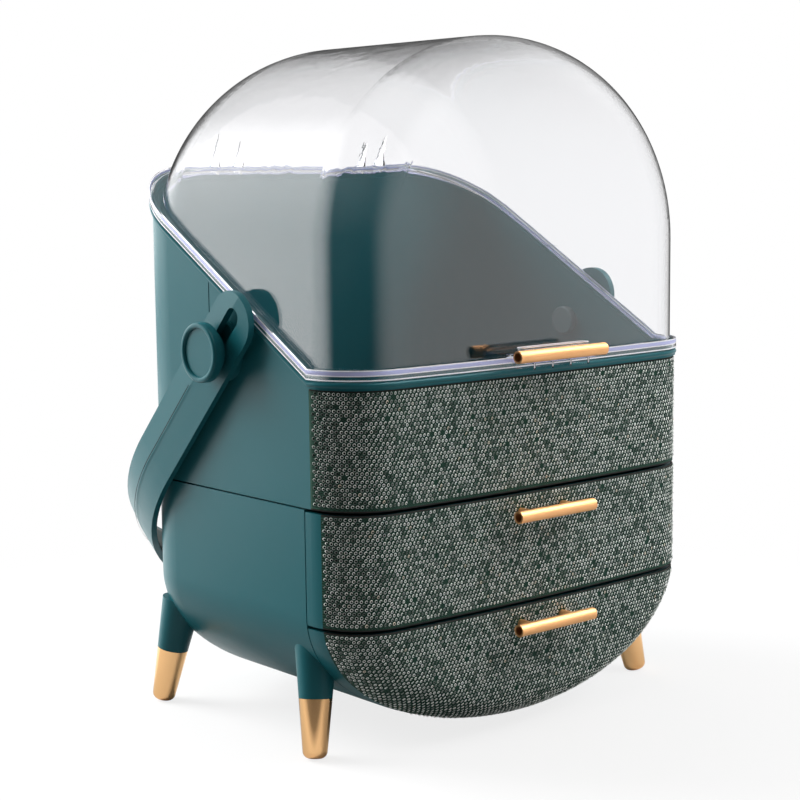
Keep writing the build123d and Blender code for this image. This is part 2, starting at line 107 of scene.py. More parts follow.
@dataclass
class NodeBoard:
    """A small helper that adds and wires shader nodes in one tree."""

    tree: bpy.types.NodeTree

    def feed(self, node: bpy.types.Node, inputs: dict) -> None:
        """Fills a node's inputs.

        Args:
            node: The node.
            inputs: A socket to join or a constant for each input, by its name or number.
        """
        for key, value in inputs.items():
            socket = node.inputs[key]
            if isinstance(value, bpy.types.NodeSocket):
                self.tree.links.new(value, socket)
            elif socket.type == "RGBA":
                socket.default_value = (*value, 1.0)
            else:
                socket.default_value = value

    def add(self, kind: str, inputs: dict | None = None, **settings: object) -> bpy.types.Node:
        """Adds a node.

        Args:
            kind: Blender's node type.
            inputs: What its inputs get, as for feed.
            **settings: Properties by name.

        Returns:
            The new node.
        """
        node = self.tree.nodes.new(kind)
        for name, value in settings.items():
            setattr(node, name, value)
        self.feed(node, inputs or {})
        return node

    def math(self, operation: str, *values: object, clamp: bool = False) -> Socket:
        """Runs a Math operation on sockets or numbers; clamp keeps its result between 0 and 1."""
        node = self.add("ShaderNodeMath", dict(enumerate(values)), operation=operation, use_clamp=clamp)
        return node.outputs[0]

    def chain(self, operation: str, *sockets: Socket) -> Socket:
        """Runs one Math operation over several sockets in turn."""
        return functools.reduce(lambda result, other: self.math(operation, result, other), sockets)

    def blend(self, factor: object, low: object, high: object) -> Socket:
        """Mixes two colours or their sockets: low at a factor of 0 and high at 1."""
        return self.add("ShaderNodeMix", {0: factor, 6: low, 7: high}, data_type="RGBA").outputs[2]

    def spread(self, value: Socket, low: float, high: float, to_low: float = 0.0, to_high: float = 1.0,
               curve: str = "LINEAR") -> Socket:
        """Maps the range from low to high onto the one from to_low to to_high, and keeps it in there."""
        inputs = {0: value, 1: low, 2: high, 3: to_low, 4: to_high}
        return self.add("ShaderNodeMapRange", inputs, interpolation_type=curve).outputs[0]

    def coordinates(self, kind: str = "Object") -> Socket:
        """Texture coordinates of one kind."""
        return self.add("ShaderNodeTexCoord").outputs[kind]

    def ray(self, kind: str) -> Socket:
        """What the Light Path node says of a ray."""
        return self.add("ShaderNodeLightPath").outputs[kind]

    def noise(self, vector: Socket, scale: object, detail: float) -> Socket:
        """Adds a noise and gives its value between 0 and 1."""
        inputs = {"Vector": vector, "Scale": scale, "Detail": detail}
        return self.add("ShaderNodeTexNoise", inputs).outputs["Fac"]

    def swing(self, noise: Socket, amount: object, middle: object, clamp: bool = False) -> Socket:
        """Turns a noise round 0.5 into a swing of an amount round another middle."""
        swing = self.math("MULTIPLY", self.math("SUBTRACT", noise, 0.5), amount)
        return self.math("ADD", swing, middle, clamp=clamp)

    def bump(self, height: Socket, strength: float, distance: float) -> Socket:
        """Adds a Bump node and gives its normal."""
        inputs = {"Height": height, "Strength": strength, "Distance": distance}
        return self.add("ShaderNodeBump", inputs).outputs["Normal"]

    def mix(self, factor: Socket, first: Socket, second: Socket) -> Socket:
        """Mixes two shaders."""
        return self.add("ShaderNodeMixShader", {0: factor, 1: first, 2: second}).outputs[0]

    def surface(self, shader: Socket) -> None:
        """Makes a shader the material's surface."""
        self.feed(self.tree.nodes["Material Output"], {"Surface": shader})

    def seen_straight(self) -> Socket:
        """1 for what the camera sees itself or through clear plastic, and 0 for light and reflections.

        Returns:
            The mask's socket.
        """
        bounced = self.math("ADD", self.ray("Glossy Depth"), self.ray("Diffuse Depth"), clamp=True)
        through = self.math("SUBTRACT", self.ray("Is Transmission Ray"), bounced, clamp=True)
        return self.math("MAXIMUM", self.ray("Is Camera Ray"), through)

    def mirror_ray(self) -> Socket:
        """1 for a sharp reflection, as in the clear dome, and 0 for soft reflections and for light.

        Returns:
            The mask's socket.
        """
        bounced = self.math("MINIMUM", self.ray("Glossy Depth"), 1.0)
        sharp = self.math("MULTIPLY", self.ray("Is Singular Ray"), bounced)
        return self.math("SUBTRACT", sharp, self.ray("Diffuse Depth"), clamp=True)


def new_group(name: str, inputs: dict[str, str],
              outputs: dict[str, str]) -> tuple[NodeBoard, bpy.types.NodeOutputs, bpy.types.Node]:
    """Starts a shader node group.

    Args:
        name: The group's name.
        inputs: The kind of each input, by its name.
        outputs: The kind of each output, by its name.

    Returns:
        The group's board, the sockets of its inputs and the node that takes its outputs.
    """
    tree = bpy.data.node_groups.new(name, "ShaderNodeTree")
    for way, sockets in (("INPUT", inputs), ("OUTPUT", outputs)):
        for label, kind in sockets.items():
            tree.interface.new_socket(name=label, in_out=way, socket_type="NodeSocket" + kind)
    board = NodeBoard(tree)
    return board, board.add("NodeGroupInput").outputs, board.add("NodeGroupOutput")


@functools.cache
def mottle_group() -> bpy.types.NodeTree:
    """Cloudy colour change over a few centimetres, as moulded plastic and metal show.

    Returns:
        The group.
    """
    board, given, result = new_group(
        "soft_mottle", {"Position": "Vector", "Colour": "Color", "Scale": "Float", "Amount": "Float"},
        {"Colour": "Color"})
    cloud = board.noise(given["Position"], given["Scale"], CLOUD_DETAIL)
    inputs = {0: given["Colour"], "Scale": board.swing(cloud, given["Amount"], 1.0)}
    scaled = board.add("ShaderNodeVectorMath", inputs, operation="SCALE")
    board.feed(result, {"Colour": scaled.outputs[0]})
    return board.tree


@functools.cache
def grain_group() -> bpy.types.NodeTree:
    """A fine surface grain: height for a Bump node, and a roughness that changes more slowly.

    Returns:
        The group.
    """
    board, given, result = new_group(
        "fine_grain", {"Position": "Vector", "Scale": "Float", "Roughness": "Float", "Spread": "Float"},
        {"Roughness": "Float", "Height": "Float"})
    fine = board.noise(given["Position"], given["Scale"], GRAIN_DETAIL)
    broad = board.noise(given["Position"], PATCH_SCALE, PATCH_DETAIL)
    rough = board.swing(broad, given["Spread"], given["Roughness"], clamp=True)
    board.feed(result, {"Roughness": rough, "Height": fine})
    return board.tree


def mottled(board: NodeBoard, colour: object, scale: float, amount: float) -> Socket:
    """Gives a colour or its socket a cloudy change of a scale and an amount."""
    inputs = {"Position": board.coordinates(), "Colour": colour, "Scale": scale, "Amount": amount}
    return board.add("ShaderNodeGroup", inputs, node_tree=mottle_group()).outputs["Colour"]


def grained(board: NodeBoard, scale: float, roughness: float = 0.4,
            spread: float = 0.1) -> bpy.types.NodeOutputs:
    """Adds the fine grain of a scale, whose Roughness swings by a spread round its middle."""
    inputs = {"Position": board.coordinates(), "Scale": scale, "Roughness": roughness, "Spread": spread}
    return board.add("ShaderNodeGroup", inputs, node_tree=grain_group()).outputs


@dataclass(frozen=True)
class Finish:
    """A finish that is made into one material of its name."""

    name: str

    def inputs(self, board: NodeBoard) -> dict[str, object]:
        """What the shader's inputs get, by their names: sockets of the board or constants."""
        raise NotImplementedError

    def material(self) -> bpy.types.Material:
        """Builds the material.

        Returns:
            The material.
        """
        made = bpy.data.materials.new(self.name)
        made.use_nodes = True
        board = NodeBoard(made.node_tree)
        board.feed(made.node_tree.nodes["Principled BSDF"], self.inputs(board))
        return made


@dataclass(frozen=True)
class MouldedPlastic(Finish):
    """Injection-moulded plastic, rubber or soft coating with a fine spark grain."""

    colour: Triple
    roughness: float = 0.42
    spread: float = 0.12
    mottle: float = 0.10
    mottle_scale: float = 14.0
    grain_scale: float = 1400.0
    grain_depth: float = 0.04
    grain_height: float = 0.0004
    gloss: float = 0.2

    def inputs(self, board: NodeBoard) -> dict[str, object]:
        """Mottled colour, grained roughness and normal.

        Args:
            board: The material's board.

        Returns:
            Sockets and constants by the input's name.
        """
        grain = grained(board, self.grain_scale, self.roughness, self.spread)
        return {
            "Base Color": mottled(board, self.colour, self.mottle_scale, self.mottle),
            "Roughness": grain["Roughness"],
            "Normal": board.bump(grain["Height"], self.grain_depth, self.grain_height),
            "IOR": PLASTIC_IOR,
            "Specular IOR Level": self.gloss,
        }


@dataclass(frozen=True)
class PolishedMetal(Finish):
    """Plated or drawn metal with very faint polishing marks along one direction."""

    colour: Triple
    roughness: float = 0.2
    streak: Triple = (60.0, 1600.0, 1600.0)
    smoother: float = 0.8
    rougher: float = 1.25
    mark_ends: tuple[float, float] = (0.3, 0.7)
    mark_detail: float = 2.0
    mark_depth: float = 0.03
    mark_height: float = 0.0002
    mottle: float = 0.12
    mottle_scale: float = 30.0

    def inputs(self, board: NodeBoard) -> dict[str, object]:
        """Mottled colour, and marks in the roughness and normal.

        Args:
            board: The material's board.

        Returns:
            Sockets and constants by the input's name.
        """
        stretch = board.add("ShaderNodeMapping", {"Vector": board.coordinates(), "Scale": self.streak})
        marks = board.noise(stretch.outputs["Vector"], 1.0, self.mark_detail)
        return {
            "Base Color": mottled(board, self.colour, self.mottle_scale, self.mottle),
            "Roughness": board.spread(marks, *self.mark_ends, self.roughness * self.smoother,
                                      self.roughness * self.rougher),
            "Normal": board.bump(marks, self.mark_depth, self.mark_height),
            "Metallic": 1.0,
        }


@dataclass(frozen=True)
class ClearPlastic(Finish):
    """Clear moulded plastic that lamps shine through."""

    colour: Triple
    waviness: float = 0.008
    wave_scale: float = 9.0
    wave_height: float = 0.001
    film: Triple = (0.94, 0.945, 0.95)

    def inputs(self, board: NodeBoard) -> dict[str, object]:
        """A clear body with a faintly wavy face.

        Args:
            board: The material's board.

        Returns:
            Sockets and constants by the input's name.
        """
        height = grained(board, self.wave_scale)["Height"]
        return {
            "Base Color": self.colour,
            "Transmission Weight": 1.0,
            "IOR": PLASTIC_IOR,
            "Roughness": 0.0,
            "Normal": board.bump(height, self.waviness, self.wave_height),
        }

    def material(self) -> bpy.types.Material:
        """Builds the material, which is only a thin film for lamps' light.

        Returns:
            The material.
        """
        made = super().material()
        board = NodeBoard(made.node_tree)
        lamp = board.math("ADD", board.ray("Is Shadow Ray"), board.ray("Is Diffuse Ray"), clamp=True)
        film = board.add("ShaderNodeBsdfTransparent", {"Color": self.film})
        shader = made.node_tree.nodes["Principled BSDF"]
        board.surface(board.mix(lamp, shader.outputs[0], film.outputs[0]))
        return made


@dataclass(frozen=True)
class BackingCloth(Finish):
    """Dark cloth with a plain weave on its own UV map."""

    dark: Triple
    light: Triple
    threads: float = 1400.0
    weave_depth: float = 0.6
    weave_height: float = 0.0002
    mottle: float = 0.5
    mottle_scale: float = 160.0
    roughness: float = 0.85
    gloss: float = 0.25

    def inputs(self, board: NodeBoard) -> dict[str, object]:
        """The weave in colour and normal.

        Args:
            board: The material's board.

        Returns:
            Sockets and constants by the input's name.
        """
        place = board.add("ShaderNodeSeparateXYZ", {0: board.coordinates("UV")}).outputs
        warp, weft = (board.math("SINE", board.math("MULTIPLY", place[axis], self.threads * math.pi))
                      for axis in ("X", "Y"))
        lift = board.spread(board.math("MULTIPLY", warp, weft), -1.0, 1.0)
        woven = board.blend(lift, self.dark, self.light)
        return {
            "Base Color": mottled(board, woven, self.mottle_scale, self.mottle),
            "Normal": board.bump(lift, self.weave_depth, self.weave_height),
            "Roughness": self.roughness,
            "Specular IOR Level": self.gloss,
        }


@dataclass(frozen=True)
class RingGlaze(Finish):
    """The shiny coat of the small rings; each ring has its own tone."""

    deep: Triple
    bright: Triple
    warm: Triple
    bright_tones: tuple[float, float] = (-0.05, 0.5)
    warm_tones: tuple[float, float] = (0.985, 0.99)
    roughness: tuple[float, float] = (0.36, 0.29)
    metal: float = 0.6
    mottle: float = 0.5
    mottle_scale: float = 700.0
    attribute: str = "tone"

    def inputs(self, board: NodeBoard) -> dict[str, object]:
        """Colour and roughness from the ring's tone.

        Args:
            board: The material's board.

        Returns:
            Sockets and constants by the input's name.
        """
        tone = board.add("ShaderNodeAttribute", attribute_name=self.attribute).outputs["Fac"]
        body = board.blend(board.spread(tone, *self.bright_tones), self.deep, self.bright)
        body = board.blend(board.spread(tone, *self.warm_tones), body, self.warm)
        return {
            "Base Color": mottled(board, body, self.mottle_scale, self.mottle),
            "Roughness": board.spread(tone, 0.0, 1.0, *self.roughness),
            "Metallic": self.metal,
        }


class Coat(Enum):
    """Every finish of the organizer."""

    TEAL = MouldedPlastic("teal_satin_plastic", (0.009, 0.104, 0.122), roughness=0.34)
    INNER_TEAL = MouldedPlastic("teal_tray_plastic", (0.009, 0.090, 0.104), roughness=0.5)
    # Painted light: a near-white finish for painted highlights on the clear lid's edges, and a lilac one for a
    # painted reflection in its flange.
    LIT_EDGE = MouldedPlastic("painted_highlight_edge", (0.93, 0.93, 0.98), roughness=0.3, spread=0.04, mottle=0.08,
                              grain_depth=0.01, gloss=0.5)
    # A lilac painted reflection for the flange's upper band.
    LILAC_EDGE = MouldedPlastic("painted_lilac_reflection_band", (0.50, 0.52, 0.82), roughness=0.28, spread=0.04,
                                mottle=0.5, grain_depth=0.01, gloss=0.5)
    NUT_TEAL = MouldedPlastic("glossy_nut_plastic", (0.11, 0.17, 0.18), roughness=0.2, gloss=0.8)
    CLEAR = ClearPlastic("clear_dome_plastic", (0.985, 0.985, 0.995))
    GOLD = PolishedMetal("warm_gold_bar", (0.86, 0.47, 0.21), roughness=0.5)
    CAP_GOLD = PolishedMetal("warm_gold_cap", (0.98, 0.58, 0.27), roughness=0.06,
                             streak=(900.0, 900.0, 60.0))
    STEEL = PolishedMetal("plain_steel", (0.56, 0.57, 0.58), roughness=0.3)
    BACKING = BackingCloth("dark_backing_cloth", (0.003, 0.010, 0.007), (0.030, 0.088, 0.062))
    BINDING = BackingCloth("dark_edge_binding", (0.008, 0.009, 0.008), (0.030, 0.031, 0.027), threads=2600.0)
    RINGS = RingGlaze("green_silver_rings", (0.03, 0.07, 0.05), (0.95, 0.98, 0.94), (0.85, 0.76, 0.64))
    # Painted shade: a near-black strip laid along the line where the strap's outer facets meet.
    CREASE = MouldedPlastic("painted_strap_crease_shade", (0.001, 0.010, 0.012), roughness=0.7)
    # Painted shade: a near-black disc sits in the middle of each ring, darker than the cloth between rings.
    HOLE = BackingCloth("painted_ring_hole_shade", (0.002, 0.004, 0.003), (0.004, 0.009, 0.007))
    GRIP = MouldedPlastic("taupe_soft_grip", (0.21, 0.185, 0.17), roughness=0.7, spread=0.1, mottle=0.2,
                          grain_scale=2200.0, grain_depth=0.35)


@functools.cache
def coated(coat: Coat) -> bpy.types.Material:
    """A finish's material, built at its first use."""
    return coat.value.material()


def smooth_grid(columns: int, rows: int) -> bmesh.types.BMesh:
    """A smooth grid from -1 to 1 both ways, to be bent by its user.

    Args:
        columns: How many cells it has along X.
        rows: How many cells it has along Y.

    Returns:
        The grid.
    """
    shape = bmesh.new()
    bmesh.ops.create_grid(shape, x_segments=columns, y_segments=rows, size=1.0)
    for face in shape.faces:
        face.smooth = True
    return shape


def mesh_object(name: str, shape: bmesh.types.BMesh, *materials: bpy.types.Material) -> Piece:
    """Turns a bmesh into an object at the origin and frees it.

    Args:
        name: The object's and the mesh's name.
        shape: The finished bmesh.
        *materials: Its finishes, by material index.

    Returns:
        The object, linked to the scene.
    """
    mesh = bpy.data.meshes.new(name)
    shape.to_mesh(mesh)
    shape.free()
    for material in materials:
        mesh.materials.append(material)
    made = bpy.data.objects.new(name, mesh)
    bpy.context.scene.collection.objects.link(made)
    return made


def arc(x: float, y: float, radius: float, ends: tuple[float, float], steps: int) -> list[LinePoint]:
    """Points along an arc with their outward directions.

    Args:
        x: The arc's centre across.
        y: The arc's centre front to back.
        radius: Its radius.
        ends: The angles at which it begins and ends.
        steps: How many steps it takes.

    Returns:
        X, Y and the outward direction of each point.
    """
    turns = [ends[0] + (ends[1] - ends[0]) * index / steps for index in range(steps + 1)]
    return [(x + radius * math.cos(turn), y + radius * math.sin(turn), math.cos(turn), math.sin(turn))
            for turn in turns]


def carried_round(name: str, line: list[LinePoint], section: Section, height: Callable[[float], float],
                  material: bpy.types.Material) -> Piece:
    """Carries a closed section round a closed line.

    Args:
        name: The piece's name.
        line: X, Y and the outward direction of each point of the line.
        section: Outward reach and height above the line of the section's corners, going round it.
        height: The line's height at a depth.
        material: The piece's finish.

    Returns:
        The swept piece.
    """
    shape = smooth_grid(len(line), len(section))
    for vert in shape.verts:
        x, y, out_x, out_y = line[round((vert.co.x + 1.0) / 2.0 * len(line)) % len(line)]
        reach, lift = section[round((vert.co.y + 1.0) / 2.0 * len(section)) % len(section)]
        vert.co = LAYOUT.place(x + out_x * reach, y + out_y * reach, height(y) + lift)
    bmesh.ops.remove_doubles(shape, verts=shape.verts[:], dist=1e-6)
    bmesh.ops.recalc_face_normals(shape, faces=shape.faces[:])
    return mesh_object(name, shape, material)


def thicken(piece: Piece, thickness: float, offset: float) -> None:
    """Gives a sheet a thickness.

    Args:
        piece: The sheet.
        thickness: Its thickness in millimetres.
        offset: -1 to thicken inwards and 0 to thicken both ways.
    """
    wall = piece.modifiers.new("thickness", "SOLIDIFY")
    wall.thickness = thickness * LAYOUT.unit
    wall.offset = offset


def face_toward(piece: Piece, way: Vector) -> None:
    """Turns a sheet's faces over if they look away from a direction.

    Args:
        piece: The sheet.
        way: The direction.
    """
    outward = sum((poly.normal for poly in piece.data.polygons), Vector())
    if outward.dot(way) < 0.0:
        piece.data.flip_normals()


def join_body(body: str, slot: str, *pieces: Piece) -> list[Piece]:
    """Makes pieces ride a body.

    Args:
        body: The body's name.
        slot: The pieces' material slot; not used.
        *pieces: The pieces.

    Returns:
        The pieces.
    """
    for piece in pieces:
        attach(piece, body)
    return list(pieces)


@dataclass
class BodyForm:
    """The outer form of the body's front: one outline from above, flattened round a bowl below."""

    half_width: float = 140.0
    front_corner: float = 34.8
    front_bow: float = 3.0
    bowl_centre: float = 84.0
    bowl_depth: float = 79.0
    reach: float = field(init=False)
    bow_radius: float = field(init=False)
    centre_y: float = field(init=False)
    flatness: float = field(init=False)

    def __post_init__(self) -> None:
        """Works out the sizes that follow from the others."""
        front_y = -(self.front_corner + self.front_bow)
        self.reach = self.half_width - self.front_corner
        self.bow_radius = (self.reach ** 2 + front_y ** 2 - self.front_corner ** 2) / (2 * self.front_bow)
        self.centre_y = self.bow_radius + front_y
        self.flatness = self.bowl_depth / self.half_width

    def spread_at(self, y: float) -> float:
        """Distance from the middle plane at which the corner reaches a depth."""
        return self.reach + math.sqrt(max(self.front_corner ** 2 - y ** 2, 0.0))

    def outline_y(self, rho: float) -> tuple[float, float]:
        """The outline's depth and its slope at a distance from the middle.

        Args:
            rho: Distance from the middle.

        Returns:
            Y and its change with the distance.
        """
        if rho <= self.reach:
            rise = math.sqrt(self.bow_radius ** 2 - rho ** 2)
            return self.centre_y - rise, rho / rise
        step = rho - self.reach
        rise = math.sqrt(max(self.front_corner ** 2 - step ** 2, 1e-6))
        return -rise, step / rise

    def drop(self, z: float) -> float:
        """How far below the bowl's centre a height lies, measured on the unflattened form."""
        return max(self.bowl_centre - z, 0.0) / self.flatness

    def surface(self, x: float, z: float, lift: float = 0.0) -> Spot:
        """A point on the front with its directions.

        Args:
            x: Millimetres across.
            z: Height.
            lift: How far the point stands off the surface.

        Returns:
            The point in millimetres, the outward normal and the direction along the row.
        """
        drop = self.drop(z)
        rho = math.hypot(x, drop)
        y, slope = self.outline_y(rho)
        along_x = slope * x / rho if rho > 1e-6 else 0.0
        along_z = -slope * drop / rho / self.flatness if rho > 1e-6 and drop > 0.0 else 0.0
        normal = Vector((along_x, -1.0, along_z)).normalized()
        row = Vector((1.0, along_x, 0.0)).normalized()
        return Vector((x, y, z)) + normal * lift, normal, row


@dataclass
class StudCloth:
    """A panel of dark cloth set with rows of small rings, stretched over the body's front.

    A panel that reaches round the bowl by more than bowl_turn, in radians, has its cross lines spaced
    round the bowl. One that starts above bound_above is bound along its lower edge too.
    """

    name: str
    node: str
    body: str
    low: float
    high: float
    edge_y: float
    flat: tuple[float, float]
    flat_area: float
    seed: int
    holes: tuple[tuple[float, float], ...] = ()
    hole_radius: float = 3.3
    form: BodyForm = field(default_factory=BodyForm)
    columns: int = 120
    lines: int = 36
    bowl_turn: float = 0.35
    bound_above: float = 30.0
    binding: float = 0.8
    skin: float = 1.3
    pitch: float = 2.6
    row_pitch: float = 2.26
    missing: float = 0.012
    ring_radius: float = 0.82
    ring_steps: int = 8
    wire_radius: float = 0.28
    wire_sides: int = 3
    hole_sides: int = 6
    ring_lean: float = 0.44
    lean_axis: Triple = (0.5, 0.86, 0.0)
    lean_spread: float = 0.08
    tilt_spread: float = 0.09
    size_ends: tuple[float, float] = (0.93, 1.04)
    place_spread: float = 0.04
    edge_share: float = 0.45
    ring_lift: float = 0.15

    def half_span(self, z: float) -> float:
        """How far from the middle the panel reaches at a height."""
        spread = self.form.spread_at(self.edge_y)
        return math.sqrt(max(spread ** 2 - self.form.drop(z) ** 2, 0.0))

    def rows(self) -> list[float]:
        """Heights of the cloth's cross lines, with the binding's edges among them.

        Returns:
            The heights from low to high. In the bowl they stand evenly round its curve.
        """
        centre = self.form.bowl_centre
        depth = self.form.spread_at(self.edge_y) * self.form.flatness
        low = max(self.low, centre - depth)
        top = self.high - self.binding
        shares = [index / self.lines for index in range(self.lines + 1)]
        turn_low = math.asin(min((centre - low) / depth, 1.0)) if low < centre else 0.0
        if turn_low > self.bowl_turn:
            turn_top = math.asin(max(centre - top, 0.0) / depth)
            turns = [turn_low + (turn_top - turn_low) * share for share in shares]
            return [centre - depth * math.sin(turn) for turn in turns] + [self.high]
        start = low + self.binding
        return [low] + [start + (top - start) * share for share in shares] + [self.high]

    def build_cloth(self) -> Piece:
        """The backing cloth with its woven edge binding.

        Returns:
            The cloth.
        """
        heights = self.rows()
        shape = smooth_grid(self.columns, len(heights) - 1)
        for vert in shape.verts:
            z = heights[round((vert.co.y + 1.0) / 2.0 * (len(heights) - 1))]
            spot, _, _ = self.form.surface(self.half_span(z) * math.sin(vert.co.x * math.pi / 2.0), z)
            vert.co = LAYOUT.place(*spot)
        bmesh.ops.remove_doubles(shape, verts=shape.verts[:], dist=1e-6)
        uv = shape.loops.layers.uv.new("cloth")
        edge_low = (self.low + self.binding) * LAYOUT.unit
        edge_high = (self.high - self.binding) * LAYOUT.unit
        for face in shape.faces:
            middle = face.calc_center_median()
            if middle.z > edge_high or (middle.z < edge_low and self.low > self.bound_above):
                face.material_index = 1
            for loop in face.loops:
                loop[uv].uv = (loop.vert.co.x, loop.vert.co.z)
        cloth = mesh_object(self.name + "_backing", shape, coated(Coat.BACKING), coated(Coat.BINDING))
        face_toward(cloth, Vector((0.0, -1.0, 0.0)))
        thicken(cloth, self.skin, -1.0)
        return cloth

    def seats(self) -> Iterator[tuple[float, float]]:
        """Places of the rings, row by row, evenly spaced along the surface.

        Yields:
            X and height of each ring.
        """
        form = self.form
        z = self.high - self.binding - self.ring_radius - self.wire_radius
        bottom = self.low + (self.binding if self.low > self.bound_above else 0.0) + self.ring_radius
        edge = self.edge_y - self.pitch * self.edge_share
        staggered = False
        while z > bottom:
            limit = self.half_span(z)
            drop = form.drop(z)
            x = 0.0 if staggered else self.pitch / 2.0
            staggered = not staggered
            while x < limit:
                spot, _, _ = form.surface(x, z)
                if spot.y > edge:
                    break
                yield x, z
                if x > 0.0:
                    yield -x, z
                rho = math.hypot(x, drop)
                slope = form.outline_y(rho)[1]
                x += self.pitch / math.sqrt(1.0 + (slope * x / max(rho, 1e-6)) ** 2)
            slope = form.outline_y(drop)[1] if drop > 0.0 else 0.0
            z -= self.row_pitch / math.sqrt(1.0 + (slope / form.flatness) ** 2)

    def ring_mesh(self) -> bpy.types.Mesh:
        """One small ring lying in its own XY plane round a near-black disc of painted shade in its middle, in
        millimetres.

        Returns:
            The ring's mesh, with a tone on its faces.
        """
        shape = bmesh.new()
        wire = bmesh.ops.create_circle(shape, segments=self.wire_sides, radius=self.wire_radius)["verts"]
        upright = Matrix.Rotation(math.pi / 2, 3, "X")
        bmesh.ops.rotate(shape, verts=wire, cent=(0, 0, 0), matrix=upright)
        bmesh.ops.translate(shape, verts=wire, vec=(self.ring_radius, 0, 0))
        bmesh.ops.spin(shape, geom=shape.edges[:] + shape.verts[:], cent=(0, 0, 0), axis=(0, 0, 1),
                       dvec=(0, 0, 0), angle=math.tau, steps=self.ring_steps, use_merge=True,
                       use_normal_flip=False, use_duplicate=False)
        bmesh.ops.remove_doubles(shape, verts=shape.verts[:], dist=1e-5)
        bmesh.ops.recalc_face_normals(shape, faces=shape.faces[:])
        for face in shape.faces:
            face.smooth = True
        # A near-black disc in the ring's middle is painted shade.
        hole_shade = bmesh.ops.create_circle(shape, cap_ends=True, segments=self.hole_sides,
                                       radius=self.ring_radius)
        for face in hole_shade["verts"][0].link_faces:
            face.material_index = 1
            if face.normal.z < 0.0:
                face.normal_flip()
        ring = bpy.data.meshes.new("ring_seed")
        shape.to_mesh(ring)
        shape.free()
        ring.attributes.new("tone", "FLOAT", "FACE")
        return ring

    def build_rings(self) -> Piece:
        """The rows of rings as one piece.

        Returns:
            The rings.
        """
        chance = random.Random(self.seed)
        seed = self.ring_mesh()
        faces = len(seed.polygons)
        rows = bmesh.new()
        count = 0
        for x, z in self.seats():
            if any(math.hypot(x - hole_x, z - hole_z) < self.hole_radius for hole_x, hole_z in self.holes):
                continue
            if chance.random() < self.missing:
                continue
            spot, normal, row = self.form.surface(x, z, self.ring_lift)
            turn = Matrix((row, normal.cross(row), normal)).transposed().to_4x4()
            angle = self.ring_lean + chance.gauss(0.0, self.lean_spread)
            lean = Matrix.Rotation(angle, 4, Vector(self.lean_axis))
            lean = lean @ Matrix.Rotation(chance.gauss(0.0, self.tilt_spread), 4, "X")
            size = Matrix.Scale(chance.uniform(*self.size_ends), 4) @ Matrix.Scale(LAYOUT.unit, 4)
            x_off = chance.gauss(0.0, self.place_spread)
            z_off = chance.gauss(0.0, self.place_spread)
            place = LAYOUT.place(spot.x + x_off, spot.y, spot.z + z_off)
            ring = seed.copy()
            ring.attributes["tone"].data.foreach_set("value", [chance.random()] * faces)
            ring.transform(Matrix.Translation(place) @ turn @ lean @ size)
            rows.from_mesh(ring)
            bpy.data.meshes.remove(ring)
            count += 1
        bpy.data.meshes.remove(seed)
        LOG.info("%s: %d rings", self.name, count)
        return mesh_object(self.name + "_rings", rows, coated(Coat.RINGS), coated(Coat.HOLE))

    def build(self) -> list[Piece]:
        """Builds the panel in place of its plain solid.

        Returns:
            The cloth and its rings.
        """
        cloth, rings = self.build_cloth(), self.build_rings()
        join_body(self.body, "studded_fabric", cloth, rings)
        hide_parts(self.node)
        tuple(side * LAYOUT.unit for side in self.flat)
        return [cloth, rings]


@dataclass
class RimLine:
    """The organizer's outline from above, followed round at the height of the tub's sloping rim."""

    rear_corner: float = 50.0
    rear_wall_y: float = 185.0
    rim_front: float = 215.9
    rim_rear: float = 325.0
    front_steps: int = 24
    corner_steps: int = 16
    side_steps: int = 12
    rear_corner_steps: int = 20
    rear_steps: int = 6
    form: BodyForm = field(default_factory=BodyForm)

    def height(self, y: float) -> float:
        """Height of the rim at a depth."""
        share = min(max(y / self.rear_wall_y, 0.0), 1.0)
        return self.rim_front + (self.rim_rear - self.rim_front) * share

    def spots(self) -> list[LinePoint]:
        """Points round the whole outline.

        Returns:
            X, Y and the outward direction of each, starting at the middle of the front.
        """
        form = self.form
        half = []
        for index in range(self.front_steps):
            x = form.reach * index / self.front_steps
            y, slope = form.outline_y(x)
            length = math.hypot(slope, 1.0)
            half.append((x, y, slope / length, -1.0 / length))
        bow_end = math.atan2(-form.centre_y, form.reach)
        half += arc(form.reach, 0.0, form.front_corner, (bow_end, 0.0), self.corner_steps)
        side_end = self.rear_wall_y - self.rear_corner
        half += [(form.half_width, side_end * index / self.side_steps, 1.0, 0.0)
                 for index in range(1, self.side_steps)]
        rear_end = form.half_width - self.rear_corner
        half += arc(rear_end, side_end, self.rear_corner, (0.0, math.pi / 2.0), self.rear_corner_steps)
        half += [(rear_end * (1.0 - index / self.rear_steps), self.rear_wall_y, 0.0, 1.0)
                 for index in range(1, self.rear_steps + 1)]
        return half + [(-x, y, -out_x, out_y) for x, y, out_x, out_y in reversed(half[1:-1])]

    def sweep(self, name: str, section: Section, material: bpy.types.Material) -> Piece:
        """Carries a closed section round the rim; see carried_round."""
        return carried_round(name, self.spots(), section, self.height, material)


@dataclass
class RimBead:
    """The rolled bead round the tub under the lid's flange."""

    reach: float = 1.9
    half_height: float = 1.65
    below: float = 1.95
    sides: int = 20
    line: RimLine = field(default_factory=RimLine)

    def build(self) -> list[Piece]:
        """Builds the bead over the plain band of the tub.

        Returns:
            The bead.
        """
        turns = [math.tau * index / self.sides for index in range(self.sides)]
        section = [(self.reach * math.cos(turn), self.half_height * math.sin(turn) - self.below)
                   for turn in turns]
        return join_body("base", "teal_plastic", self.line.sweep("tub_rim_bead", section, coated(Coat.TEAL)))


